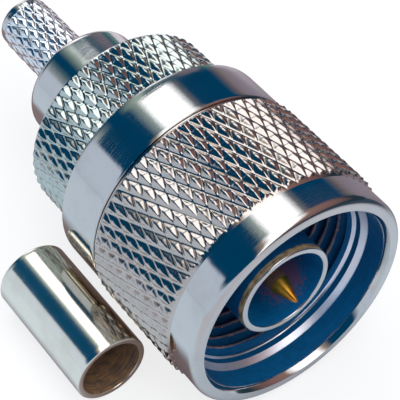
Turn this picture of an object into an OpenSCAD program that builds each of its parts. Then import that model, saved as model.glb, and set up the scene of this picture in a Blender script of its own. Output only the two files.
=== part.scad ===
// Coaxial cable plug with a knurled coupling nut and a crimp ferrule.
// Y runs along the plug: the outer contact's front face is at y = 0, the mouth
// of the nut is ahead of it at negative y, and the cable leaves towards +y.
// The plug lies on the crests of its nut, with the loose ferrule beside it.
// All lengths are in millimetres.

/* [Coupling thread] */
// Major diameter of the thread
thread_major_d = 15.88; // [14.4:0.01:17.4]
// Depth of the thread form
thread_depth = 0.46; // [0.3:0.01:0.5]
// Pitch of the thread
thread_pitch = 1.058; // [0.9:0.001:1.16]
// Number of thread turns
thread_turns = 5; // [3:1:5]
// Length of the plain relief ahead of the first turn
thread_relief = 0.5; // [0.3:0.05:0.8]

/* [Coupling nut] */
// How far the mouth's bore stands outside the thread
mouth_gap = 0.44; // [0.3:0.01:1.2]
// Wall around the mouth, out to the plain bands of the nut and the body
mouth_wall = 1.27; // [0.8:0.01:3]
// Radius of the rounded outer edge at the mouth
mouth_round = 0.5; // [0.2:0.05:0.6]
// Depth of the plain bore inside the mouth
mouth_depth = 2.3; // [1.4:0.1:2.6]
// Length of the cone that leads into that bore
mouth_lead_in = 0.45; // [0.3:0.05:0.8]
// How far the cone widens the bore at the mouth's face
mouth_flare = 0.22; // [0.1:0.01:0.4]
// How far the mouth stands ahead of the outer contact
nut_lead = 1.6; // [1.0:0.1:1.9]
// Length of the plain band behind the mouth
nut_band_len = 2.8; // [2.2:0.1:4]
// How far the nut's knurl stands proud of the bands
crest_rise = 0.3; // [0.1:0.05:0.6]
// Room inside the nut from the hub's face to the rear lip
nut_room = 0.2; // [0.1:0.05:1]
// Thickness of the rear lip that turns on the hub
nut_lip = 2.5; // [2.2:0.1:3]

/* [Knurls] */
// Pyramids around the coupling nut
nut_knurl_count = 59; // [44:1:70]
// Pyramids around the body
body_knurl_count = 51; // [38:1:62]
// Pyramids around the crimp barrel
barrel_knurl_count = 16; // [12:1:20]
// Angle between the grip knurls' grooves and the plug's axis
knurl_angle = 24.2; // [20:0.1:36]
// Angle between the barrel knurl's grooves and the plug's axis
barrel_knurl_angle = 28; // [24:1:36]
// Depth of the grip knurls
knurl_depth = 0.33; // [0.25:0.01:0.45]
// Depth of the knurl on the crimp barrel
barrel_knurl_depth = 0.17; // [0.1:0.01:0.2]
// Length of the bevel at each end of a grip knurl
knurl_bevel = 0.3; // [0.2:0.05:0.6]

/* [Body] */
// Length of the body's plain band
body_band_len = 4.3; // [3:0.1:6]
// Diameter over the crests of the body's knurl
body_crest_d = 17.1; // [16:0.1:18]
// Length of the body's knurl
body_knurl_len = 6.2; // [5:0.1:9]
// How far the hub that the nut turns on stands inside the thread
hub_step = 0.43; // [0.3:0.01:0.8]
// Diameter of the body's through bore
body_bore_d = 9.2; // [9.0:0.1:9.8]
// Break on the turned edges
edge = 0.15; // [0.05:0.05:0.2]

/* [Outer contact] */
// Outer diameter of the contact tube
contact_od = 8.0; // [7.8:0.05:8.2]
// Bore of the contact tube
contact_id = 7.0; // [6.8:0.05:7.2]
// Diameter of the tube's root, where the gasket sits
contact_root_d = 8.4; // [8.3:0.05:8.8]
// Length of the tube ahead of the hub's face
contact_len = 8.4; // [8.3:0.1:9]
// Length of the shank pressed into the body
shank_len = 5.2; // [4.4:0.1:6]

/* [Centre contact] */
// Diameter of the mating pin
pin_d = 1.65; // [1.5:0.05:1.8]
// Diameter of the line behind the mating pin
line_d = 3.04; // [2.8:0.02:3.2]
// How far the pin's tip stands ahead of the outer contact
tip_lead = 1.2; // [0.6:0.1:1.5]
// Length of the pin's pointed end
tip_len = 2.0; // [1.2:0.1:2.4]
// Radius of the rounded tip
tip_r = 0.2; // [0.1:0.05:0.3]
// Depth of the shoulder between pin and line
pin_shoulder = 5.3; // [4.8:0.1:6]
// Diameter of the collar that the insulators hold
pin_collar_d = 3.9; // [3.6:0.1:4.4]
// Length of that collar
pin_collar_len = 1.2; // [0.8:0.1:1.6]
// Length of the cup behind the collar
cup_len = 5.9; // [5:0.1:6.4]
// Diameter of the cup
cup_d = 2.6; // [2.4:0.1:2.8]
// Bore of the cup for the cable's inner wire
cup_bore_d = 1.0; // [0.8:0.05:1.3]
// Depth of the cup's bore
cup_depth = 3.2; // [2:0.1:3.6]

/* [Insulators and gasket] */
// Diameter of the front insulator
insulator_d = 7.8; // [7.6:0.05:8.0]
// Depth of the front insulator's face behind the contact's front
insulator_face = 9.2; // [9:0.1:9.6]
// Length of the rear insulator
rear_insulator_len = 3.2; // [2.4:0.1:4]
// How far the gasket's rim stands inside the hub
gasket_step = 0.25; // [0.1:0.05:1]
// Thickness of the gasket
gasket_t = 1.6; // [1.2:0.1:2]

/* [Retaining ring] */
// Thickness of the split ring
ring_t = 0.7; // [0.6:0.05:0.8]
// Width of the split ring's section
ring_w = 1.1; // [0.9:0.05:1.2]
// How much of the ring's width lies in the hub's groove
ring_seat = 0.5; // [0.4:0.05:0.6]
// Width of the ring's split
ring_split = 3.0; // [1:0.1:5]

/* [Crimp stem] */
// Diameter of the collar behind the body
collar_d = 10.3; // [9.8:0.1:12]
// Length of the collar
collar_len = 6.2; // [4:0.1:8]
// Radius of the collar's rear edge
collar_round = 0.9; // [0.4:0.1:1.4]
// Diameter over the crests of the barrel's knurl
barrel_d = 4.85; // [4.6:0.05:5.0]
// Length of the barrel behind the collar
barrel_len = 9.25; // [7.5:0.05:12]
// Length of the plain lead at the barrel's end
barrel_lead = 0.8; // [0.4:0.1:1.4]
// Bore of the barrel for the cable's core
stem_bore_d = 3.1; // [2.9:0.05:3.4]
// Diameter of the room behind the rear insulator
chamber_d = 6.4; // [5.6:0.1:7]
// Depth of that room
chamber_len = 3.9; // [3.4:0.1:4.4]

/* [Ferrule] */
// Outer diameter of the ferrule
ferrule_od = 6.1; // [5.9:0.05:6.6]
// Bore of the ferrule
ferrule_id = 5.1; // [5.05:0.05:5.6]
// Length of the ferrule
ferrule_len = 11.5; // [9:0.1:14]
// Distance of the ferrule's front face behind the nut's mouth
ferrule_back = 7.55; // [4:0.05:12]
// Room between the ferrule and the widest part of the nut
ferrule_room = 0.7; // [0.4:0.1:6]

/* [Fits] */
// Radial clearance of the turning nut on its hub
run_gap = 0.05; // [0.03:0.01:0.08]
// Radial clearance of the pressed and seated pieces
seat_gap = 0.01; // [0.005:0.005:0.02]
// Gap between the nut's rear face and the body
nut_gap = 0.05; // [0.05:0.05:0.4]
// Axial room of the split ring in its grooves
ring_gap = 0.05; // [0.05:0.01:0.1]

/* [Hidden] */
$fn = 96;

// Stations along the plug
mouth_y = -nut_lead;
hub_y = contact_len;
lip_y = hub_y + nut_room;
nut_rear_y = lip_y + nut_lip;
band_y = nut_rear_y + nut_gap;
knurl_y = band_y + body_band_len;
body_rear_y = knurl_y + body_knurl_len;
shank_end_y = hub_y + shank_len;
nose_y = shank_end_y + rear_insulator_len;
collar_rear_y = body_rear_y + collar_len;
stem_end_y = collar_rear_y + barrel_len;

// Radii that several pieces share
thread_r = thread_major_d / 2;
thread_minor_r = thread_r - thread_depth;
mouth_r = thread_r + mouth_gap;
band_r = mouth_r + mouth_wall;
nut_r = band_r + crest_rise;
hub_r = thread_minor_r - hub_step;
bore_r = body_bore_d / 2;
lip_r = hub_r + run_gap;
gasket_r = hub_r - gasket_step;
ring_in_r = hub_r - ring_seat;
ring_out_r = ring_in_r + ring_w;
ring_y = lip_y + (nut_lip - ring_t) / 2;

// The reliefs at both ends of the thread, the cone from the mouth's bore down to
// the front one, and the thread's first crest behind a chamfer
relief_r = thread_r + run_gap;
relief_y = mouth_y + mouth_depth + mouth_r - relief_r;
thread_y = relief_y + thread_relief + thread_depth;

// How far a knurl's outer skin reaches into the turned core that carries it
knurl_root = 0.35;

// The turned lip that each grip knurl runs out on
knurl_runout = 0.25;

// A solid turned about the Y axis from [radius, y] points
module turned(profile) {
    rotate([-90, 0, 0]) rotate_extrude() polygon(profile);
}

// A ring of diamond pyramids between y0 and y1. Every second point of every
// row is a crest, the points between them are the crossings of the grooves,
// and each cell is folded along the groove that crosses it.
module knurl(crest_r, depth, count, angle, y0, y1, bevel, end_r) {
    columns = 2 * count;
    half_pitch = PI * crest_r / count / tan(angle);
    rows = max(2, round((y1 - y0 - 2 * bevel) / half_pitch));
    step = (y1 - y0 - 2 * bevel) / rows;
    core_r = crest_r - depth - knurl_root;
    function crest(row, column) = (row + column) % 2 == 0;
    function point(r, column, y) =
        [r * cos(180 * column / count), r * sin(180 * column / count), y];
    function ring(r, y) = [for (c = [0 : columns - 1]) point(r, c, y)];
    function field(row) = [for (c = [0 : columns - 1])
        point(crest_r - (crest(row, c) ? 0 : depth), c, y0 + bevel + row * step)];
    rings = concat([ring(core_r, y0), ring(end_r, y0)],
                   [for (row = [0 : rows]) field(row)],
                   [ring(end_r, y1), ring(core_r, y1)]);
    last = len(rings);
    // one cell between ring k and the next, folded from its low corner
    function cell(k, c) = let (
        a = k * columns + c,
        b = (k + 1) % last * columns + c,
        next = (c + 1) % columns - c)
        crest(k, c) ? [[a, b, a + next], [b, b + next, a + next]]
                    : [[a, b, b + next], [a, b + next, a + next]];
    rotate([-90, 0, 0]) polyhedron(
        points = [for (r = rings) each r],
        faces = [for (k = [0 : last - 1], c = [0 : columns - 1]) each cell(k, c)]);
}

// Nickel-plated brass nut: knurled grip, plain band and mouth, internal
// thread of ring grooves, and a rear lip that the split ring holds to the hub.
module coupling_nut() {
    knurl_front = mouth_y + nut_band_len;
    core_r = nut_r - knurl_depth - knurl_root / 2;
    rim = nut_r - knurl_depth;
    thread = [for (turn = [0 : thread_turns - 1], side = [0 : 3])
        let (y = thread_y + thread_pitch * (turn + [0.1, 0.45, 0.65, 1][side]))
        [side == 0 || side == 3 ? thread_minor_r : thread_r, y]];
    groove = [[lip_r, ring_y - ring_gap], [ring_out_r + 2 * run_gap, ring_y - ring_gap],
              [ring_out_r + 2 * run_gap, ring_y + ring_t + ring_gap],
              [lip_r, ring_y + ring_t + ring_gap]];
    color("silver") union() {
        turned(concat(
            [[mouth_r + mouth_flare, mouth_y]],
            [for (a = [0 : 15 : 90])
                [band_r - mouth_round * (1 - sin(a)), mouth_y + mouth_round * (1 - cos(a))]],
            [[band_r, knurl_front], [core_r, knurl_front],
             [core_r, nut_rear_y - knurl_runout], [rim, nut_rear_y - knurl_runout],
             [rim, nut_rear_y - edge], [rim - edge, nut_rear_y], [lip_r + edge, nut_rear_y],
             [lip_r, nut_rear_y - edge]],
            [for (i = [3 : -1 : 0]) groove[i]],
            [[lip_r, lip_y], [relief_r, lip_y],
             [relief_r, thread_y + thread_pitch * thread_turns + thread_depth]],
            [for (i = [len(thread) - 1 : -1 : 0]) thread[i]],
            [[thread_minor_r, thread_y], [relief_r, thread_y - thread_depth],
             [relief_r, relief_y], [mouth_r, mouth_y + mouth_depth],
             [mouth_r, mouth_y + mouth_lead_in]]));
        knurl(nut_r, knurl_depth, nut_knurl_count, knurl_angle, knurl_front - edge,
              nut_rear_y - edge, knurl_bevel + edge, rim - edge);
    }
}

// Spring-bronze ring, split so that it snaps over the hub.
module retaining_ring() {
    r_in = ring_in_r + seat_gap;
    color("darkgoldenrod") difference() {
        turned([[r_in, ring_y], [ring_out_r, ring_y],
                [ring_out_r, ring_y + ring_t], [r_in, ring_y + ring_t]]);
        translate([0, ring_y - ring_t, -ring_split / 2])
            cube([2 * hub_r, 3 * ring_t, ring_split]);
    }
}

// Dark silicone ring that seals against the mating socket's rim.
module gasket() {
    front = hub_y - gasket_t;
    round_r = gasket_t / 4;
    color("darkslategray") turned(concat(
        [[contact_root_d / 2 + seat_gap, front], [contact_root_d / 2 + seat_gap, hub_y],
         [gasket_r, hub_y]],
        [for (a = [0 : 15 : 90])
            [gasket_r - round_r * (1 - cos(a)), front + round_r * (1 - sin(a))]]));
}

// Nickel-plated tube that touches the mating socket, with its pressed shank.
module outer_contact() {
    r_out = contact_od / 2;
    r_in = contact_id / 2;
    root_r = contact_root_d / 2;
    seat_r = insulator_d / 2 + seat_gap;
    color("silver") turned([
        [r_in + edge, 0], [r_out - edge / 2, 0], [r_out, edge / 2],
        [r_out, hub_y - gasket_t], [root_r, hub_y - gasket_t], [root_r, hub_y],
        [bore_r - seat_gap, hub_y], [bore_r - seat_gap, shank_end_y],
        [seat_r, shank_end_y], [seat_r, insulator_face], [r_in, insulator_face],
        [r_in, edge]]);
}

// White fluoroplastic bead that centres the pin in the outer contact.
module front_insulator() {
    bore = line_d / 2 + seat_gap;
    collar = pin_collar_d / 2 + seat_gap;
    collar_y = shank_end_y - pin_collar_len;
    color("whitesmoke") turned([
        [bore, insulator_face], [insulator_d / 2, insulator_face],
        [insulator_d / 2, shank_end_y], [collar, shank_end_y],
        [collar, collar_y], [bore, collar_y]]);
}

// Gold-plated centre contact: pointed pin, line section, captive collar and
// rear cup with a cross hole for the solder.
module contact_pin() {
    pin_r = pin_d / 2;
    tip_y = -tip_lead;
    tip = [for (a = [0 : 15 : 75])
        [tip_r * sin(a), tip_y + tip_r * (1 - cos(a))]];
    collar_y = shank_end_y - pin_collar_len;
    cup_y = shank_end_y + cup_len;
    color("gold") difference() {
        turned(concat(tip, [
            [pin_r, tip_y + tip_len], [pin_r, pin_shoulder - edge],
            [line_d / 2 - edge, pin_shoulder], [line_d / 2, pin_shoulder + edge],
            [line_d / 2, collar_y], [pin_collar_d / 2, collar_y],
            [pin_collar_d / 2, shank_end_y], [cup_d / 2, shank_end_y],
            [cup_d / 2, cup_y - edge], [cup_d / 2 - edge, cup_y],
            [cup_bore_d / 2, cup_y], [cup_bore_d / 2, cup_y - cup_depth],
            [0, cup_y - cup_depth - cup_bore_d / 4]]));
        translate([0, cup_y - cup_depth * 2 / 3, 0])
            cylinder(d = cup_bore_d * 3 / 4, h = cup_d);
    }
}

// White fluoroplastic bush behind the pin's collar.
module rear_insulator() {
    bore = cup_d / 2 + seat_gap;
    color("whitesmoke") turned([
        [bore, shank_end_y], [bore_r - seat_gap, shank_end_y],
        [bore_r - seat_gap, nose_y], [bore, nose_y]]);
}

// Nickel-plated brass body: grooved hub for the nut, plain band, knurled grip.
module body() {
    crest_r = body_crest_d / 2;
    core_r = crest_r - knurl_depth - knurl_root / 2;
    rim = crest_r - knurl_depth;
    groove_r = ring_in_r;
    color("silver") union() {
        turned([
            [bore_r, hub_y], [hub_r - edge, hub_y], [hub_r, hub_y + edge],
            [hub_r, ring_y - ring_gap], [groove_r, ring_y - ring_gap],
            [groove_r, ring_y + ring_t + ring_gap], [hub_r, ring_y + ring_t + ring_gap],
            [hub_r, band_y], [band_r - edge, band_y], [band_r, band_y + edge],
            [band_r, knurl_y - 2 * edge], [band_r - 2 * edge, knurl_y], [core_r, knurl_y],
            [core_r, body_rear_y - knurl_runout], [rim, body_rear_y - knurl_runout],
            [rim, body_rear_y - edge], [rim - edge, body_rear_y], [bore_r, body_rear_y]]);
        knurl(crest_r, knurl_depth, body_knurl_count, knurl_angle, knurl_y - edge,
              body_rear_y - edge, knurl_bevel + edge, rim - edge);
    }
}

// Nickel-plated brass stem: nose pressed into the body, round-edged collar and
// a knurled barrel that the cable's braid is crimped onto.
module crimp_stem() {
    collar_r = collar_d / 2;
    crest_r = barrel_d / 2;
    core_r = crest_r - barrel_knurl_depth - knurl_root / 2;
    lead_r = crest_r - barrel_knurl_depth / 2;
    stem_r = stem_bore_d / 2;
    lead_y = stem_end_y - barrel_lead;
    shoulder = [for (a = [0 : 15 : 90])
        [collar_r - collar_round * (1 - cos(a)), collar_rear_y - collar_round * (1 - sin(a))]];
    color("silver") union() {
        turned(concat(
            [[chamber_d / 2, nose_y], [bore_r - seat_gap, nose_y],
             [bore_r - seat_gap, body_rear_y], [collar_r, body_rear_y]],
            shoulder,
            [[core_r, collar_rear_y], [core_r, lead_y], [lead_r, lead_y],
             [lead_r, stem_end_y - edge], [lead_r - edge, stem_end_y],
             [stem_r, stem_end_y], [stem_r, nose_y + chamber_len + chamber_d / 2 - stem_r],
             [chamber_d / 2, nose_y + chamber_len]]));
        knurl(crest_r, barrel_knurl_depth, barrel_knurl_count, barrel_knurl_angle,
              collar_rear_y - edge, lead_y + edge, 2 * edge, core_r + edge / 2);
    }
}

// Nickel-plated copper ferrule, lying loose beside the plug on the same plane.
module crimp_ferrule() {
    r_out = ferrule_od / 2;
    r_in = ferrule_id / 2;
    drop = nut_r - r_out;
    apart = nut_r + ferrule_room + r_out;
    front = mouth_y + ferrule_back;
    translate([-sqrt(apart * apart - drop * drop), front, -drop])
        color("silver") turned([
            [r_in, edge / 2], [r_in + edge / 2, 0], [r_out - edge, 0], [r_out, edge],
            [r_out, ferrule_len - edge], [r_out - edge, ferrule_len],
            [r_in + edge / 2, ferrule_len], [r_in, ferrule_len - edge / 2]]);
}

coupling_nut();
retaining_ring();
gasket();
outer_contact();
front_insulator();
contact_pin();
rear_insulator();
body();
crimp_stem();
crimp_ferrule();
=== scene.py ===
import math

import bpy
import numpy as np
from mathutils import Matrix, Vector


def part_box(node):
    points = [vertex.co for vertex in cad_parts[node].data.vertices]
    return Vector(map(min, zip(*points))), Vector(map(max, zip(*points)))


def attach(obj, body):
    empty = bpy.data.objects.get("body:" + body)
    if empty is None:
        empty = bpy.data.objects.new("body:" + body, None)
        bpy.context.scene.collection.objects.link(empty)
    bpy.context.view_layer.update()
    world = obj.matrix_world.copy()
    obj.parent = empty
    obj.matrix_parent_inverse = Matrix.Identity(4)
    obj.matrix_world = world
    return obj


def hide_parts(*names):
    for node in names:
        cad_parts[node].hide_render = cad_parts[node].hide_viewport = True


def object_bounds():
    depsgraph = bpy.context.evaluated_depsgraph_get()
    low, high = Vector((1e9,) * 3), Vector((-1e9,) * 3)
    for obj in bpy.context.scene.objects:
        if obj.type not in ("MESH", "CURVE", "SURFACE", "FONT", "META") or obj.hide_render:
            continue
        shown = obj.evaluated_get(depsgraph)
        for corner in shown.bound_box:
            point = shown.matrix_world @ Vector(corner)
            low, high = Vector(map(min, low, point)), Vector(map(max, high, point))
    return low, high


# A coaxial cable plug: knurled coupling nut, knurled body, crimp stem, contacts and
# a loose crimp ferrule. Sizes are in millimetres, and the frame is in metres.
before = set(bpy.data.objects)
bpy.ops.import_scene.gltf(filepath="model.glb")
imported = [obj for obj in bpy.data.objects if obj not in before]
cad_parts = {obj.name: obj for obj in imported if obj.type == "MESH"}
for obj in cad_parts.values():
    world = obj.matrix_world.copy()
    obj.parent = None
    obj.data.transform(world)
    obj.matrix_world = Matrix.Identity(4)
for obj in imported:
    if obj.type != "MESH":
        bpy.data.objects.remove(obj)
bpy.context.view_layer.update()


# Camera: a long lens that looks down on the mouth and along the plug. It aims close
# to the axis, at the nut's rear face.
MM = 0.001
mouth, rear = (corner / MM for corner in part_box("coupling_nut"))
sight_azimuth = math.radians(35.86)
sight_drop = math.radians(47.98)
sight_distance = 112.85
sight = Vector((math.sin(sight_azimuth) * math.cos(sight_drop),
                math.cos(sight_azimuth) * math.cos(sight_drop), -math.sin(sight_drop)))
sight_target = Vector((0.17, rear.y - 0.01, -0.07))
camera = bpy.data.objects.new("camera", bpy.data.cameras.new("camera"))
camera.data.sensor_width = 36
camera.data.lens = 130.5
camera.data.clip_start = 0.005
camera.rotation_mode = "QUATERNION"
camera.rotation_quaternion = sight.to_track_quat("-Z", "Y")
camera.location = (sight_target - sight_distance * sight) * MM
bpy.context.scene.collection.objects.link(camera)
bpy.context.scene.camera = camera
bpy.context.scene.view_settings.view_transform = "Standard"


# Studio: a softbox between two dark blue flags, a pale wall on the left and a dim one on
# the right, as stripes round the plug's axis, in four sets from the mouth's end to the
# cable's. They light the metal and it mirrors them, and the camera sees plain white.
class Wire:
    """A shader socket. Arithmetic on it adds Math nodes, and node() adds any other."""

    def __init__(self, tree, socket=None):
        self.tree = tree
        self.socket = socket

    def node(self, kind, settings=None, sockets=None, output=0):
        made = self.tree.nodes.new("ShaderNode" + kind)
        for name, value in (settings or {}).items():
            if name == "stops":
                ramp = made.color_ramp.elements
                for place, colour in value[1:-1]:
                    ramp.new(place)
                for stop, (place, colour) in zip(ramp, value):
                    stop.position = place
                    stop.color = (*colour, 1)
            else:
                setattr(made, name, value)
        for name, value in (sockets or {}).items():
            named = [s for s in made.inputs if s.enabled and name in (s.name, s.identifier)]
            socket = made.inputs[name] if isinstance(name, int) else named[0]
            if isinstance(value, Wire):
                self.tree.links.new(value.socket, socket)
            else:
                socket.default_value = value
        shown = [s for s in made.outputs if s.enabled]
        picked = [s for s in shown if s.name == output] or [shown[output]] if shown else [None]
        return Wire(self.tree, picked[0])

    def maths(self, operation, *values):
        return self.node("Math", {"operation": operation}, dict(enumerate(values)))

    def __add__(self, other):
        return self.maths("ADD", self, other)

    def __sub__(self, other):
        return self.maths("SUBTRACT", self, other)

    def __mul__(self, other):
        return self.maths("MULTIPLY", self, other)

    def __truediv__(self, other):
        return self.maths("DIVIDE", self, other)

    def __rsub__(self, other):
        return self.maths("SUBTRACT", other, self)

    def __rtruediv__(self, other):
        return self.maths("DIVIDE", other, self)

    __radd__ = __add__
    __rmul__ = __mul__

    def part(self, axis):
        """The X, Y or Z of a vector."""
        return self.node("SeparateXYZ", {}, {"Vector": self}, output=axis)

    def between(self, low, high):
        """0 below low, 1 above high, and smooth between them."""
        return self.node("MapRange", {"interpolation_type": "SMOOTHSTEP"},
                         {"Value": self, "From Min": low, "From Max": high})

    def blend(self, first, second):
        """The first colour where this is 0, the second where it is 1."""
        return self.node("Mix", {"data_type": "RGBA"},
                         {"Factor": self, "A_Color": rgba(first), "B_Color": rgba(second)})

    def noise(self, scale, detail=2.0, stretch=(1, 1, 1)):
        """Noise of about scale cells a millimetre over the piece's own coordinates."""
        spread = [scale * s / MM for s in stretch]
        placed = self.node("VectorMath", {"operation": "MULTIPLY"}, {0: self, 1: spread})
        return self.node("TexNoise", {}, {"Vector": placed, "Scale": 1, "Detail": detail})


def rgba(colour):
    return colour if isinstance(colour, Wire) else (*colour, 1)


pale_light = (0.62, 0.76, 0.96)
flag_blue = (0.0, 0.062, 0.165)
box_white = (1.80, 1.95, 2.15)
right_dusk = (0.28, 0.25, 0.30)
card_brown = (0.31, 0.205, 0.19)
far_grey = (0.47, 0.47, 0.52)
far_light = (0.85, 0.80, 0.88)
middle_stops = [
    (-90, pale_light), (-60, pale_light), (-56.5, flag_blue), (-17, flag_blue),
    (-7, (0.36, 0.48, 0.5)), (-1, box_white), (26, box_white), (34, (0.17, 0.20, 0.24)),
    (41, flag_blue), (75, flag_blue), (86, (0.20, 0.18, 0.20)), (90, right_dusk)]
near_stops = [
    (-90, pale_light), (-68, pale_light), (-58, flag_blue), (-24, flag_blue),
    (-15, (0.42, 0.36, 0.30)), (-7, box_white), (20, box_white), (32, card_brown),
    (50, (0.27, 0.16, 0.17)), (64, (0.20, 0.13, 0.14)), (78, (0.02, 0.05, 0.08)),
    (90, (0.03, 0.06, 0.09))]
rear_stops = [
    (-90, pale_light), (-64, pale_light), (-56, (0.44, 0.52, 0.58)), (-45, (0.12, 0.22, 0.27)),
    (-36, flag_blue), (-24, flag_blue), (-13, (0.24, 0.36, 0.34)), (-5, (0.42, 0.57, 0.57)),
    (2, (0.42, 0.57, 0.57)), (9, (0.07, 0.16, 0.2)), (40, (0.06, 0.13, 0.2)),
    (54, (0.22, 0.21, 0.26)), (68, (0.26, 0.24, 0.31)), (76, (0.05, 0.16, 0.19)),
    (90, (0.18, 0.38, 0.40))]
far_stops = [
    (-90, far_grey), (-80, far_grey), (-65, flag_blue), (-20, flag_blue),
    (-5, (0.30, 0.34, 0.35)), (20, box_white), (42, box_white), (55, (0.45, 0.45, 0.5)),
    (62, (0.04, 0.07, 0.14)), (75, (0.05, 0.08, 0.14)), (86, far_light), (90, far_light)]
world = bpy.data.worlds.new("studio")
world.use_nodes = True
bpy.context.scene.world = world
world.node_tree.nodes.clear()
studio = Wire(world.node_tree)
direction = studio.node("TexCoord", output="Generated")
along = direction.part("Y")
angle = direction.maths("ARCTAN2", direction.part("X"), direction.part("Z"))
around = (angle * (180 / math.pi) + 90) / 180


def wall_stripes(stops):
    """The colours of a wall from -90 degrees on the left to 90 on the right."""
    placed = [((turned + 90) / 180, colour) for turned, colour in stops]
    return around.node("ValToRGB", {"stops": placed}, {"Fac": around})


stripes = along.between(0.42, 0.50).blend(wall_stripes(near_stops), wall_stripes(middle_stops))
stripes = along.between(0.621, 0.636).blend(stripes, wall_stripes(rear_stops))
stripes = along.between(0.67, 0.75).blend(stripes, wall_stripes(far_stops))
seen = studio.node("LightPath", output="Is Camera Ray")
lit = studio.node("Background", {}, {"Color": stripes, "Strength": 1.0})
plain = studio.node("Background", {}, {"Color": (1, 1, 1, 1), "Strength": 1.0})
either = studio.node("MixShader", {}, {"Fac": seen, 1: lit, 2: plain})
studio.node("OutputWorld", {}, {"Surface": either})


# Floor: a sheet that the plug and the ferrule lie on, near white to the camera. To all
# other rays it partly glows, in colours painted for the metal to mirror: pale on the left
# and ahead, a painted shadow under the plug, dusky on the right, and dark ahead on the right.
def blank_material(name):
    """A material with no nodes yet, and the wire that its nodes are made with."""
    material = bpy.data.materials.new(name)
    material.use_nodes = True
    material.node_tree.nodes.clear()
    return material, Wire(material.node_tree)


floor_size = 1200
floor_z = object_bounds()[0].z
half = floor_size * MM / 2
corners = ((-half, -half), (half, -half), (half, half), (-half, half))
sheet = bpy.data.meshes.new("floor")
sheet.from_pydata([(x, y, floor_z) for x, y in corners], [], [(0, 1, 2, 3)])
floor = bpy.data.objects.new("floor", sheet)
bpy.context.scene.collection.objects.link(floor)
sheet_pale = (0.62, 0.74, 0.86)
painted_shadow_tone = (0.28, 0.22, 0.23)
sheet_ahead = (0.59, 0.62, 0.69)
sheet_dark = (0.05, 0.08, 0.12)
own_light = 0.35
paper, page = blank_material("floor_paper")
place = page.node("TexCoord", output="Object")
out_right = place.part("X") / MM
far_back = place.part("Y") / MM
# a painted shadow on the sheet under the plug, which the camera doesn't see
under = out_right.between(-19, -12) * far_back.between(-5, 3)
left_side = under.blend(sheet_pale, painted_shadow_tone)
left_side = far_back.between(-22, -2).blend(sheet_ahead, left_side)
right_side = (far_back - out_right * 0.8).between(0, 25).blend(right_dusk, far_light)
right_side = far_back.between(-14, 0).blend(sheet_dark, right_side)
mirrored = out_right.between(14, 44).blend(left_side, right_side)
card = page.node("BsdfDiffuse", {}, {"Color": mirrored})
glow = page.node("Emission", {}, {"Color": mirrored, "Strength": 1.0})
reflected = page.node("MixShader", {}, {"Fac": own_light, 1: card, 2: glow})
white = page.node("Emission", {}, {"Color": (1, 1, 1, 1), "Strength": 1.0})
shaded = page.node("BsdfDiffuse", {}, {"Color": (0.95, 0.95, 0.95, 1)})
backdrop = page.node("MixShader", {}, {"Fac": 0.8, 1: shaded, 2: white})
seen = page.node("LightPath", output="Is Camera Ray")
either = page.node("MixShader", {}, {"Fac": seen, 1: reflected, 2: backdrop})
page.node("OutputMaterial", {}, {"Surface": either})
sheet.materials.append(paper)


# Lamp: a broad soft lamp high over the plug. It lights the floor, the plastics and the
# dull bores, and the bright metal doesn't mirror it.
lamp = bpy.data.objects.new("overhead", bpy.data.lights.new("overhead", "AREA"))
lamp.data.size = 0.6
lamp.data.energy = 1.6
lamp.location = (0, 0, 0.5)
lamp.visible_glossy = False
bpy.context.scene.collection.objects.link(lamp)


# Coupling nut: turned brass with a diamond knurl rolled on, plain at the mouth, an
# internal thread behind a wide step, all nickel-plated. It turns on the body's hub.
def turned_solid(name, spans):
    """A closed mesh of rings about the Y axis. Each span is (columns, rows, first, lean):
    a row is (radius, y), numbers or arrays round the ring, whose first point stands at
    first degrees, less lean degrees for each millimetre along. The rows go along the
    outside from front to rear and back along the bore."""
    points, rings, start = [], [], 0
    for columns, rows, first, lean in spans:
        turn = np.arange(columns) * 2 * math.pi / columns
        for radius, y in rows:
            turned = turn + math.radians(first - lean * y)
            ring = np.broadcast_arrays(radius * np.cos(turned), y, radius * np.sin(turned))
            points.append(np.stack(ring, 1))
            rings.append((start, columns))
            start += columns
    points = np.concatenate(points)
    reach = np.hypot(points[:, 0], points[:, 2])
    faces = []
    for (low, columns), (high, others) in zip(rings, rings[1:] + rings[:1]):
        if columns == others:
            a = low + np.arange(columns)
            b = high + np.arange(columns)
            c, d = np.roll(b, -1), np.roll(a, -1)
            # each cell is split along its lower diagonal, so that grooves stay straight
            fold = (reach[a] + reach[c] < reach[b] + reach[d])[:, None]
            faces.append(np.where(fold, np.stack([a, b, c], 1), np.stack([a, b, d], 1)))
            faces.append(np.where(fold, np.stack([a, c, d], 1), np.stack([b, c, d], 1)))
        else:
            fine, coarse = (low, high) if columns > others else (high, low)
            many, few = max(columns, others), min(columns, others)
            share = many // few
            i = np.arange(many)
            near = coarse + (i // share + (i % share >= share // 2)) % few
            fan = np.stack([fine + i, near, fine + (i + 1) % many], 1)
            j = np.arange(few)
            gap = np.stack([coarse + j, coarse + (j + 1) % few,
                            fine + j * share + share // 2], 1)
            turned_round = slice(None, None, 1 if columns > others else -1)
            faces += [fan[:, turned_round], gap[:, turned_round]]
    mesh = bpy.data.meshes.new(name)
    mesh.from_pydata(points * MM, [], np.concatenate(faces))
    mesh.validate()
    mesh.shade_smooth()
    sharp_from = 28
    mesh.set_sharp_from_angle(angle=math.radians(sharp_from))
    piece = bpy.data.objects.new(name, mesh)
    bpy.context.scene.collection.objects.link(piece)
    return piece


def arc(radius, y, size, start, end, steps=5):
    """Rows along a rounded edge about (radius, y). 0 degrees faces out, 90 faces back."""
    turns = [math.radians(start + (end - start) * i / steps) for i in range(steps + 1)]
    return [(radius + size * math.cos(t), y + size * math.sin(t)) for t in turns]


def soft_min(first, second, reach):
    """The smaller of the two, rounded off where they are closer than reach."""
    near = np.clip(1 - np.abs(first - second) / reach, 0, 1)
    return np.minimum(first, second) - reach * near ** 2 / 4


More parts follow.
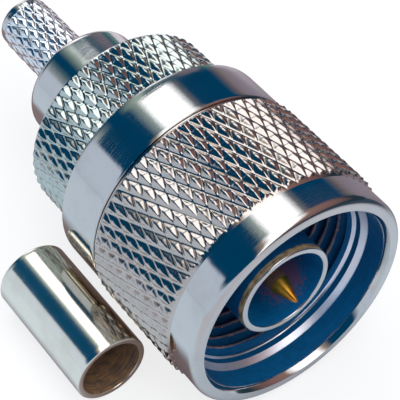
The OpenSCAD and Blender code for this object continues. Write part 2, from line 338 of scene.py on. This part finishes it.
def knurl_rows(crest_r, count, start, half_period, rows, cells, grooves, seed):
    """Rows of a diamond knurl: two families of V grooves that cross. For each family
    grooves gives (depth, flat bottom, width at the crest), lengths in millimetres.
    Each groove's depth strays a little from the others', as on a worn roll."""
    stray = 0.05
    crest_round = 0.22
    root_round = 0.07
    columns = count * cells
    turn = np.arange(columns) / cells
    spacing = 2 * math.pi * crest_r / count
    spacing *= half_period / math.hypot(half_period, spacing / 2)
    scatter = np.random.default_rng(seed)
    uneven = [scatter.uniform(-1, 1, count * 4) for family in grooves]
    result = []
    for row in range(rows * cells // 2 + 1):
        along = row / cells
        height = np.zeros(columns)
        for lean, (depth, bottom, width), rough in zip((1, -1), grooves, uneven):
            place = turn + lean * along + 0.5
            off = np.abs(place % 1 - 0.5) * spacing
            deep = depth * (1 + stray * rough[np.floor(place).astype(int) % count])
            wall = (off - bottom / 2) / (width - bottom) * 2
            wall = -soft_min(-wall, np.zeros(columns), crest_round)
            height = soft_min(height, deep * (wall - 1), root_round)
        result.append((crest_r + height, start + row * 2 * half_period / cells))
    return result


def bevelled(rows, low, high, low_r, high_r, slope):
    """The rows cut down to cones that rise from low_r at low and high_r at high."""
    return [(np.minimum(r, min(low_r + slope * (y - low), high_r + slope * (high - y))), y)
            for r, y in rows]


# outside: a band round the mouth, then the knurl, then a bevelled rear edge
mouth_y = mouth.y
nut_rear_y = rear.y
crest_r = rear.z
band_r = crest_r - 0.3
mouth_wall = 1.27
mouth_r = band_r - mouth_wall
mouth_round = 0.5
shoulder_y = mouth_y + 2.3
knurl_front = mouth_y + 2.8
knurl_depth = 0.33
nut_rear_r = crest_r - knurl_depth
nut_bevel = 0.15
edge_round = 0.08
nut_count = 59
nut_cells = 16
nut_half_period = 1.16
nut_first = -0.85
nut_lean = 0.295
nut_grooves = ((0.225, 0.02, 0.70), (0.25, 0.11, 0.78))
nut_start = knurl_front - nut_half_period + 0.24
nut_field = knurl_rows(crest_r, nut_count, nut_start, nut_half_period, 11, nut_cells,
                       nut_grooves, 3)
nut_field = [(r, y) for r, y in nut_field if knurl_front + 0.02 < y < nut_rear_y - 0.22]
nut_field = bevelled(nut_field, knurl_front, nut_rear_y - 0.2, band_r, nut_rear_r, 1.1)
# the pyramids' front tips are faced off in a strip just behind the band
strip = 0.28
strip_slope = 0.35
tip_slope = 1.5
nut_field = [(np.minimum(r, band_r + strip_slope * (y - knurl_front)
                         + tip_slope * max(0, y - knurl_front - strip)), y)
             for r, y in nut_field]
nut_front = [(mouth_r + 0.26, mouth_y), (band_r - mouth_round - 0.02, mouth_y)]
nut_front += arc(band_r - mouth_round, mouth_y + mouth_round, mouth_round, -90, 0, 10)
nut_front += [(band_r, y) for y in np.linspace(mouth_y + 0.7, knurl_front - 0.02, 5)]
nut_grip = [(np.minimum(nut_field[0][0], band_r), knurl_front)] + nut_field
nut_grip += [(nut_rear_r, nut_rear_y - nut_bevel)]

# inside, from the rear: the lip that runs on the hub, the thread, its relief, the
# shoulder at 45 degrees and the mouth with a flared edge
lip_r = 7.1
lip_y = 8.6
thread_r = 15.88 / 2
thread_depth = 0.46
thread_minor = thread_r - thread_depth
thread_turns = 5
thread_steps = 14
pitch = 1.058
crest_share = 0.14
flank_share = 0.7
run_out = 0.4
relief_r = thread_r + 0.05
relief_y = shoulder_y + mouth_r - relief_r
chamfer_y = relief_y + 0.5
thread_end = chamfer_y + thread_depth + thread_turns * pitch
nut_inside = arc(nut_rear_r - edge_round, nut_rear_y - edge_round, edge_round, 0, 90, 3)
nut_inside += [(lip_r + nut_bevel, nut_rear_y), (lip_r, nut_rear_y - nut_bevel),
               (lip_r, lip_y), (relief_r, lip_y - 0.02), (relief_r, thread_end + 0.3)]
plain_columns = nut_count * nut_cells // 4
turn = np.arange(plain_columns) / plain_columns
for y in np.arange(thread_end, chamfer_y - 0.001, -pitch / thread_steps):
    wind = ((y - thread_end) / pitch + turn) % 1
    form = np.clip((np.abs(2 * wind - 1) - crest_share) / flank_share, 0, 1)
    radius = thread_r - thread_depth * form * min(1, (thread_end - y) / run_out)
    thread_chamfer = relief_r - (y - chamfer_y)
    nut_inside.append((np.minimum(relief_r, np.maximum(radius, thread_chamfer)), y))
nut_inside += [(relief_r, chamfer_y - 0.03), (relief_r, relief_y + 0.03),
               (relief_r + 0.03, relief_y - 0.02), (mouth_r - 0.03, shoulder_y + 0.04),
               (mouth_r, shoulder_y - 0.04)]
nut_inside += [(mouth_r, y) for y in np.linspace(mouth_y + 2.1, mouth_y + 0.6, 4)]
nut_inside += [(mouth_r + 0.01, mouth_y + 0.45), (mouth_r + 0.21, mouth_y + 0.06)]
coupling_nut = turned_solid("knurled_nut", [
    (plain_columns, nut_front, 0, 0),
    (nut_count * nut_cells, nut_grip, nut_first, nut_lean),
    (plain_columns, nut_inside, 0, 0)])


def coated(piece, material, radii, stations):
    """Gives the faces between two radii and two stations along the axis a finish."""
    mesh = piece.data
    if material.name not in mesh.materials:
        mesh.materials.append(material)
    middles = np.empty(len(mesh.polygons) * 3)
    mesh.polygons.foreach_get("center", middles)
    x, y, z = middles.reshape(-1, 3).T / MM
    reach = np.hypot(x, z)
    layers = np.empty(len(mesh.polygons), np.int32)
    mesh.polygons.foreach_get("material_index", layers)
    chosen = (radii[0] < reach) & (reach < radii[1]) & (stations[0] < y) & (y < stations[1])
    layers[chosen] = mesh.materials.find(material.name)
    mesh.polygons.foreach_set("material_index", layers)


deep_grain = 0.01 * MM


def turning_lines(where):
    """Fine lines that a tool leaves round the Y axis, nine to a millimetre."""
    return where.noise(9, 3, (0.06, 1, 0.06))


def plated(name, metal, gloss, grain, second=None):
    """Plated metal: fine turning lines round the axis, a slight orange peel, small
    stains, and a gloss that varies with them."""
    material, skin = blank_material(name)
    where = skin.node("TexCoord", output="Object")
    lines = turning_lines(where)
    peel = where.noise(2.2, 3)
    specks = where.noise(6.5, 2)
    stain = where.noise(0.45, 3).between(0.42, 0.7)
    tarnish = (0.88, 0.88 * 0.985, 0.88 * 0.96)
    stained = [tone * dull for tone, dull in zip(metal, tarnish)]
    colour = (stain * 0.55).blend(metal, stained)
    if second:
        patches = where.noise(0.35, 2) + (where.noise(7, 3) - 0.5) * 0.5
        colour = patches.between(0.47, 0.6).blend(colour, second)
    rough = gloss + (lines - 0.5) * (0.5 * gloss) + specks.between(0.6, 0.75) * 0.05
    height = lines * grain + peel * (grain * 0.6) + specks * (grain * 0.4)
    bump = skin.node("Bump", {}, {"Height": height, "Distance": deep_grain, "Strength": 0.6})
    surface = skin.node("BsdfPrincipled", {}, {
        "Base Color": colour, "Metallic": 1.0, "Roughness": rough, "Normal": bump})
    skin.node("OutputMaterial", {}, {"Surface": surface})
    return material


def lining(name, colour, scored=None, patch=None, middle=(0, 0, 0)):
    """A dull surface whose colour is set here instead of mirrored, scored round the
    axis, with one patch of a second colour."""
    material, skin = blank_material(name)
    where = skin.node("TexCoord", output="Object")
    lines = turning_lines(where)
    mottle = where.noise(1.6, 3).between(0.35, 0.65) * 0.5 + lines.between(0.4, 0.6) * 0.5
    bright = [tone * 1.12 for tone in colour]
    shade = mottle.blend(bright, scored or [tone * 0.85 for tone in colour])
    if patch:
        middle = [distance * MM for distance in middle]
        off = where.node("VectorMath", {"operation": "DISTANCE"}, {0: where, 1: middle},
                         output="Value") / MM
        away = off + (where.noise(3.5, 4) - 0.5) * 3.2
        shade = away.between(1.0, 2.4).blend(patch, shade)
    bump = skin.node("Bump", {}, {"Height": lines, "Distance": deep_grain, "Strength": 0.5})
    surface = skin.node("BsdfPrincipled", {}, {
        "Base Color": shade, "Roughness": 0.5 + lines * 0.2, "Specular IOR Level": 0.15,
        "Normal": bump})
    skin.node("OutputMaterial", {}, {"Surface": surface})
    return material


nickel = (0.66, 0.61, 0.56)
coupling_nut.data.materials.append(plated("nut_nickel", nickel, 0.07, 0.5))
# the knurl is plated as the band is; its darker, browner tint here is painted shade
knurl_nickel_painted_shade = plated("nut_knurl_painted_shade", (0.60, 0.51, 0.44), 0.11, 0.9)
# the real bore and thread are plated as the outside is. The dark blue below is painted shade
# in the bore and a painted reflection of a blue room, and it keeps that colour under any light
painted_bore_shade = lining("bore_shade", (0.001, 0.095, 0.235))
# the faced edges are plated as the rest is; their paler tint here is a painted highlight
faced_edge_painted_highlight = plated("faced_edge_painted_highlight", (0.90, 0.86, 0.88), 0.40, 0.4)
# the crests' dull brown is a painted reflection on the plated thread
thread_crest_painted_reflection = lining("thread_crest_painted_reflection", (0.40, 0.27, 0.29), (0.16, 0.13, 0.15))
in_mouth = (0, mouth_r + 0.005)
in_thread = (0, relief_r + 0.02)
shoulder_ends = (shoulder_y - 0.04, relief_y + 0.03)
chamfer_end_y = chamfer_y + 0.24
thread_room_y = lip_y - 0.1
coated(coupling_nut, knurl_nickel_painted_shade, (band_r + 0.001, crest_r + 0.01),
       (knurl_front, nut_rear_y - 0.2))
coated(coupling_nut, painted_bore_shade, in_mouth, (mouth_y + 0.46, shoulder_ends[0]))
coated(coupling_nut, painted_bore_shade, in_thread, (shoulder_ends[1], chamfer_y))
coated(coupling_nut, painted_bore_shade, in_thread, (chamfer_end_y, thread_room_y))
coated(coupling_nut, faced_edge_painted_highlight, (0, mouth_r + 0.01), shoulder_ends)
coated(coupling_nut, faced_edge_painted_highlight, in_thread, (chamfer_y, chamfer_end_y))
coated(coupling_nut, thread_crest_painted_reflection, (0, thread_minor + 0.05), (chamfer_y + 0.7, thread_room_y))
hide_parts("coupling_nut")
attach(coupling_nut, "nut")


# Body: nickel-plated brass with a plain band as wide as the nut's, a knurled grip
# behind it, and the grooved hub that the nut's split ring snaps onto.
hub, body_rear = (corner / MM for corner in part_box("body"))
body_rear_y = body_rear.y + 0.25
body_band_r = body_rear.x + 0.07
body_crest_r = 17.1 / 2
body_root_r = body_crest_r - knurl_depth
body_rim_r = body_crest_r - 0.2
body_bevel = 0.1
band_y = nut_rear_y + 0.05
band_round = 0.12
body_knurl_y = band_y + 4.6
body_cells = 16
body_count = 51
body_half_period = 1.16
body_first = -0.45
body_lean = 0.09
body_grooves = ((0.25, 0.08, 0.72),) * 2
body_field = knurl_rows(body_crest_r, body_count, body_knurl_y - body_half_period,
                        body_half_period, 8, body_cells, body_grooves, 5)
body_field = [(r, y) for r, y in body_field if body_knurl_y + 0.05 < y < body_rear_y - 0.12]
body_field = bevelled(body_field, body_knurl_y + 0.05, body_rear_y - body_bevel,
                      body_root_r, body_rim_r, 1.4)
hub_r = 7.05
hub_y = hub.y
hub_bevel = 0.15
ring_groove_r = 6.55
ring_groove = (9.4, 10.2)
body_bore_r = 4.6
body_front = [(hub_r - 0.05, band_y - 0.15), (hub_r, band_y - 0.05), (hub_r + 0.05, band_y)]
body_front += arc(body_band_r - band_round, band_y + band_round, band_round, -90, 0, 4)
body_front += [(body_band_r, y) for y in np.linspace(band_y + 0.4, body_knurl_y - 0.5, 6)]
body_front += [(body_band_r - 0.02, body_knurl_y - 0.3),
               (body_band_r - 0.28, body_knurl_y - 0.02),
               (body_band_r - 0.32, body_knurl_y)]
body_grip = [(body_root_r, body_knurl_y)] + body_field
body_grip += [(body_rim_r, body_rear_y - body_bevel)]
body_inside = arc(body_rim_r - edge_round, body_rear_y - edge_round, edge_round, 0, 90, 3)
body_inside += [(body_bore_r, body_rear_y), (body_bore_r, hub_y), (hub_r - hub_bevel, hub_y),
                (hub_r, hub_y + hub_bevel), (hub_r, ring_groove[0]),
                (ring_groove_r, ring_groove[0]), (ring_groove_r, ring_groove[1]),
                (hub_r, ring_groove[1])]
grip_body = turned_solid("knurled_body", [
    (body_count * body_cells // 4, body_front, 0, 0),
    (body_count * body_cells, body_grip, body_first, body_lean),
    (body_count * body_cells // 4, body_inside, 0, 0)])
grip_body.data.materials.append(plated("body_nickel", nickel, 0.07, 0.5))
# the knurl is plated as the band is; its darker, greener tint here is painted shade
grip_nickel_painted_shade = plated("body_knurl_painted_shade", (0.56, 0.58, 0.51), 0.10, 0.9)
coated(grip_body, grip_nickel_painted_shade, (body_crest_r - 0.31, body_crest_r),
       (body_knurl_y + 0.01, body_rear_y - body_bevel))
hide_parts("body")
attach(grip_body, "plug")


# Crimp stem: a round-edged collar behind the body and the knurled barrel that the
# cable's braid is crimped onto. It is turned in one piece and pressed into the body.
stem_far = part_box("crimp_stem")[1] / MM
collar_r = stem_far.x
stem_end_y = stem_far.y
collar_rear_y = body_rear.y + 6.2
collar_round = 0.6
barrel_r = 4.9 / 2
barrel_cells = 20
barrel_count = 16
barrel_half_period = 0.9
barrel_grooves = ((0.12, 0.06, 0.40),) * 2
barrel_knurl_end = stem_end_y - 0.8
barrel_end_r = barrel_r - 0.085
barrel_end_round = 0.2
barrel_field = knurl_rows(barrel_r, barrel_count, collar_rear_y, barrel_half_period, 10,
                          barrel_cells, barrel_grooves, 9)
barrel_field = [(r, y) for r, y in barrel_field if collar_rear_y + 0.05 < y < barrel_knurl_end]
barrel_field = bevelled(barrel_field, collar_rear_y, barrel_knurl_end, barrel_r - 0.17,
                        barrel_r - 0.1, 0.6)
stem_outside = [(collar_r, body_rear_y)]
stem_outside += [(collar_r, y) for y in np.linspace(body_rear_y + 0.2, collar_rear_y - 0.8, 5)]
stem_outside += arc(collar_r - collar_round, collar_rear_y - collar_round, collar_round,
                    0, 90, 10)
stem_outside += [(barrel_r + 0.2, collar_rear_y), (barrel_r - 0.1, collar_rear_y + 0.02)]
stem_outside += barrel_field
stem_outside += [(barrel_end_r, barrel_knurl_end + 0.02), (barrel_end_r, stem_end_y - 0.3)]
stem_outside += arc(barrel_end_r - barrel_end_round, stem_end_y - barrel_end_round,
                    barrel_end_round, 0, 90, 4)
braid_bore_r = 1.55
stem_bore_r = 3.2
stem_seat_r = 4.59
stem_front_y = 16.8
stem_inside = [(braid_bore_r + 0.1, stem_end_y), (braid_bore_r, stem_end_y - 0.1),
               (braid_bore_r, 22.35), (stem_bore_r, 20.7), (stem_bore_r, stem_front_y),
               (stem_seat_r, stem_front_y), (stem_seat_r, body_rear_y)]
crimp_stem = turned_solid("collar_and_barrel", [
    (barrel_count * barrel_cells, stem_outside, 0, 0),
    (barrel_count * barrel_cells // 2, stem_inside, 0, 0)])
crimp_stem.data.materials.append(plated("stem_nickel", nickel, 0.10, 0.5))
# the barrel is plated as the collar is; its paler tint here is a painted highlight
barrel_nickel_painted_highlight = plated("barrel_nickel_painted_highlight", (0.88, 0.86, 0.82), 0.19, 0.5)
coated(crimp_stem, barrel_nickel_painted_highlight, (barrel_r - 0.3, barrel_r + 0.1),
       (collar_rear_y + 0.1, barrel_knurl_end + 0.05))
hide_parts("crimp_stem")
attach(crimp_stem, "plug")


# Outer contact: a plain nickel-plated tube that stands inside the nut's mouth, with
# its shank pressed into the body.
front, shank = (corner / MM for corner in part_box("outer_contact"))
tube_r = 4.0
tube_bore_r = 3.5
tube_outer_round = 0.12
tube_inner_round = 0.1
tube_columns = 192
shoulder_r = 4.2
tube_root_y = 6.8
shank_r = 4.59
shank_bore_r = 3.91
bead_seat_y = 9.2
tube_outside = [((tube_r + tube_bore_r) / 2, front.y)]
tube_outside += arc(tube_r - tube_outer_round, front.y + tube_outer_round, tube_outer_round,
                    -90, 0, 4)
tube_outside += [(tube_r, y) for y in np.linspace(front.y + 0.3, front.y + 0.6, 4)]
tube_outside += [(tube_r, tube_root_y - 0.05), (tube_r, tube_root_y),
                 (shoulder_r, tube_root_y), (shoulder_r, hub_y),
                 (shank_r, hub_y), (shank_r, shank.y)]
tube_inside = [(shank_bore_r, shank.y), (shank_bore_r, bead_seat_y),
               (tube_bore_r, bead_seat_y)]
tube_inside += [(tube_bore_r, y) for y in np.linspace(8.5, 0.5, 6)]
tube_inside += arc(tube_bore_r + tube_inner_round, front.y + tube_inner_round,
                   tube_inner_round, 180, 270, 4)
contact_tube = turned_solid("contact_tube", [(tube_columns, tube_outside + tube_inside, 0, 0)])
contact_tube.data.materials.append(plated("tube_nickel", nickel, 0.10, 0.4))
# these are painted shade and painted reflections on the plated tube, as in the nut's bore
patch_brown = (0.17, 0.09, 0.17)
patch_middle = (2.0, 2.9, -2.9)
tube_lining = lining("tube_bore", (0.001, 0.13, 0.32), None, patch_brown, patch_middle)
tube_side = lining("tube_side", (0.62, 0.44, 0.22), (0.10, 0.07, 0.06))
side_end_y = front.y + 0.55
coated(contact_tube, tube_lining, (tube_bore_r - 0.01, tube_bore_r + 0.02),
       (front.y + 0.1, bead_seat_y + 0.1))
coated(contact_tube, tube_side, (tube_r - 0.01, tube_r + 0.01), (front.y + 0.1, side_end_y))
coated(contact_tube, painted_bore_shade, (tube_r - 0.01, shoulder_r + 0.1),
       (side_end_y, tube_root_y + 0.05))
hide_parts("outer_contact")
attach(contact_tube, "plug")


# Centre contact: a gold-plated pin with a pointed tip. It is carried by the white
# insulators inside the outer contact.
tip, cup_end = (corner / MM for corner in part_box("contact_pin"))
pin_r = 1.65 / 2
line_r = 1.52
line_y = 5.45
pin_collar = (12.4, 13.6)
pin_collar_r = 1.95
cup_r = 1.3
cup_bore_r = 0.5
axis_r = 0.0005
tip_round = 0.2
point_end_y = tip.y + 2.0
pin_bevel = 0.15
pin_rows = [(axis_r, tip.y)] + arc(0, tip.y + tip_round, tip_round, -80, -20, 5)
pin_rows += [(pin_r - 0.02, point_end_y - 0.05), (pin_r, point_end_y + 0.05)]
pin_rows += [(pin_r, line_y - 0.3), (line_r - pin_bevel, line_y - pin_bevel),
             (line_r, line_y), (line_r, pin_collar[0]),
             (pin_collar_r, pin_collar[0]), (pin_collar_r, pin_collar[1]),
             (cup_r, pin_collar[1]), (cup_r, cup_end.y - pin_bevel),
             (cup_r - pin_bevel, cup_end.y), (cup_bore_r, cup_end.y),
             (cup_bore_r, cup_end.y - 3.2), (axis_r, cup_end.y - 3.45)]
gold_pin = turned_solid("gold_pin", [(tube_columns // 2, pin_rows, 0, 0)])
pin_gold = (1.0, 0.47, 0.05)
pin_orange = (0.75, 0.27, 0.03)
gold_pin.data.materials.append(plated("pin_gold", pin_gold, 0.30, 0.9, pin_orange))
# the real shaft is gold too. It stands in the tube's shade, and is dull brown here
coated(gold_pin, lining("pin_shaft", (0.12, 0.07, 0.05)), (0, pin_collar_r + 0.05),
       (point_end_y, cup_end.y + 1))
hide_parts("contact_pin")
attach(gold_pin, "plug")


# Ferrule: a plain plated copper sleeve that is crimped over the cable's braid and the
# barrel. It lies loose beside the plug, and its bore is unplated and brown.
near, far = (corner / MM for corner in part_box("crimp_ferrule"))
ferrule_r = (far.x - near.x) / 2
ferrule_bore_r = 2.55
ferrule_round = 0.15
round_r = ferrule_r - ferrule_round
bore_edge_r = ferrule_bore_r + edge_round
ferrule_rows = [((ferrule_r + ferrule_bore_r) / 2, near.y)]
ferrule_rows += arc(round_r, near.y + ferrule_round, ferrule_round, -90, 0, 4)
ferrule_rows += [(ferrule_r, y) for y in np.linspace(near.y + 0.5, far.y - 0.5, 7)]
ferrule_rows += arc(round_r, far.y - ferrule_round, ferrule_round, 0, 90, 4)
ferrule_rows += arc(bore_edge_r, far.y - edge_round, edge_round, 90, 180, 3)
ferrule_rows += [(ferrule_bore_r, y) for y in np.linspace(far.y - 0.4, near.y + 0.4, 7)]
ferrule_rows += arc(bore_edge_r, near.y + edge_round, edge_round, 180, 270, 3)
loose_ferrule = turned_solid("loose_ferrule", [(tube_columns, ferrule_rows, 0, 0)])
loose_ferrule.data.materials.append(plated("ferrule_nickel", (0.90, 0.81, 0.66), 0.14, 0.5))
copper_brown = (0.37, 0.19, 0.085)
copper_stain = (0.13, 0.10, 0.08)
coated(loose_ferrule, lining("bare_copper", copper_brown, copper_stain),
       (0, ferrule_bore_r + 0.02), (near.y + 0.05, far.y))
loose_ferrule.data.transform(
    Matrix.Translation(((near.x + far.x) / 2 * MM, 0, (near.z + far.z) / 2 * MM)))
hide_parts("crimp_ferrule")
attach(loose_ferrule, "plug")


# Insulators, gasket and split ring: the solids as they are. The insulators are turned
# from white fluoroplastic, the gasket is moulded silicone and the split ring is spring
# bronze. They are held inside the plug by the pieces above.
def moulded(name, colour, gloss):
    """Moulded or machined plastic with a faint, even grain."""
    material, skin = blank_material(name)
    where = skin.node("TexCoord", output="Object")
    grain = where.noise(5, 3)
    shade = grain.blend(colour, [tone * 0.9 for tone in colour])
    bump = skin.node("Bump", {}, {"Height": grain, "Distance": deep_grain, "Strength": 0.4})
    surface = skin.node("BsdfPrincipled", {}, {
        "Base Color": shade, "Roughness": gloss + grain * 0.1, "Normal": bump})
    skin.node("OutputMaterial", {}, {"Surface": surface})
    return material


def dress(node, material):
    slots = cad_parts[node].data.materials
    slots.clear()
    slots.append(material)


white_plastic = moulded("white_fluoroplastic", (0.86, 0.86, 0.84), 0.4)
dress("front_insulator", white_plastic)
dress("rear_insulator", white_plastic)
dress("gasket", moulded("dark_silicone", (0.03, 0.045, 0.06), 0.5))
dress("retaining_ring", plated("spring_bronze", (0.62, 0.40, 0.20), 0.3, 0.6))
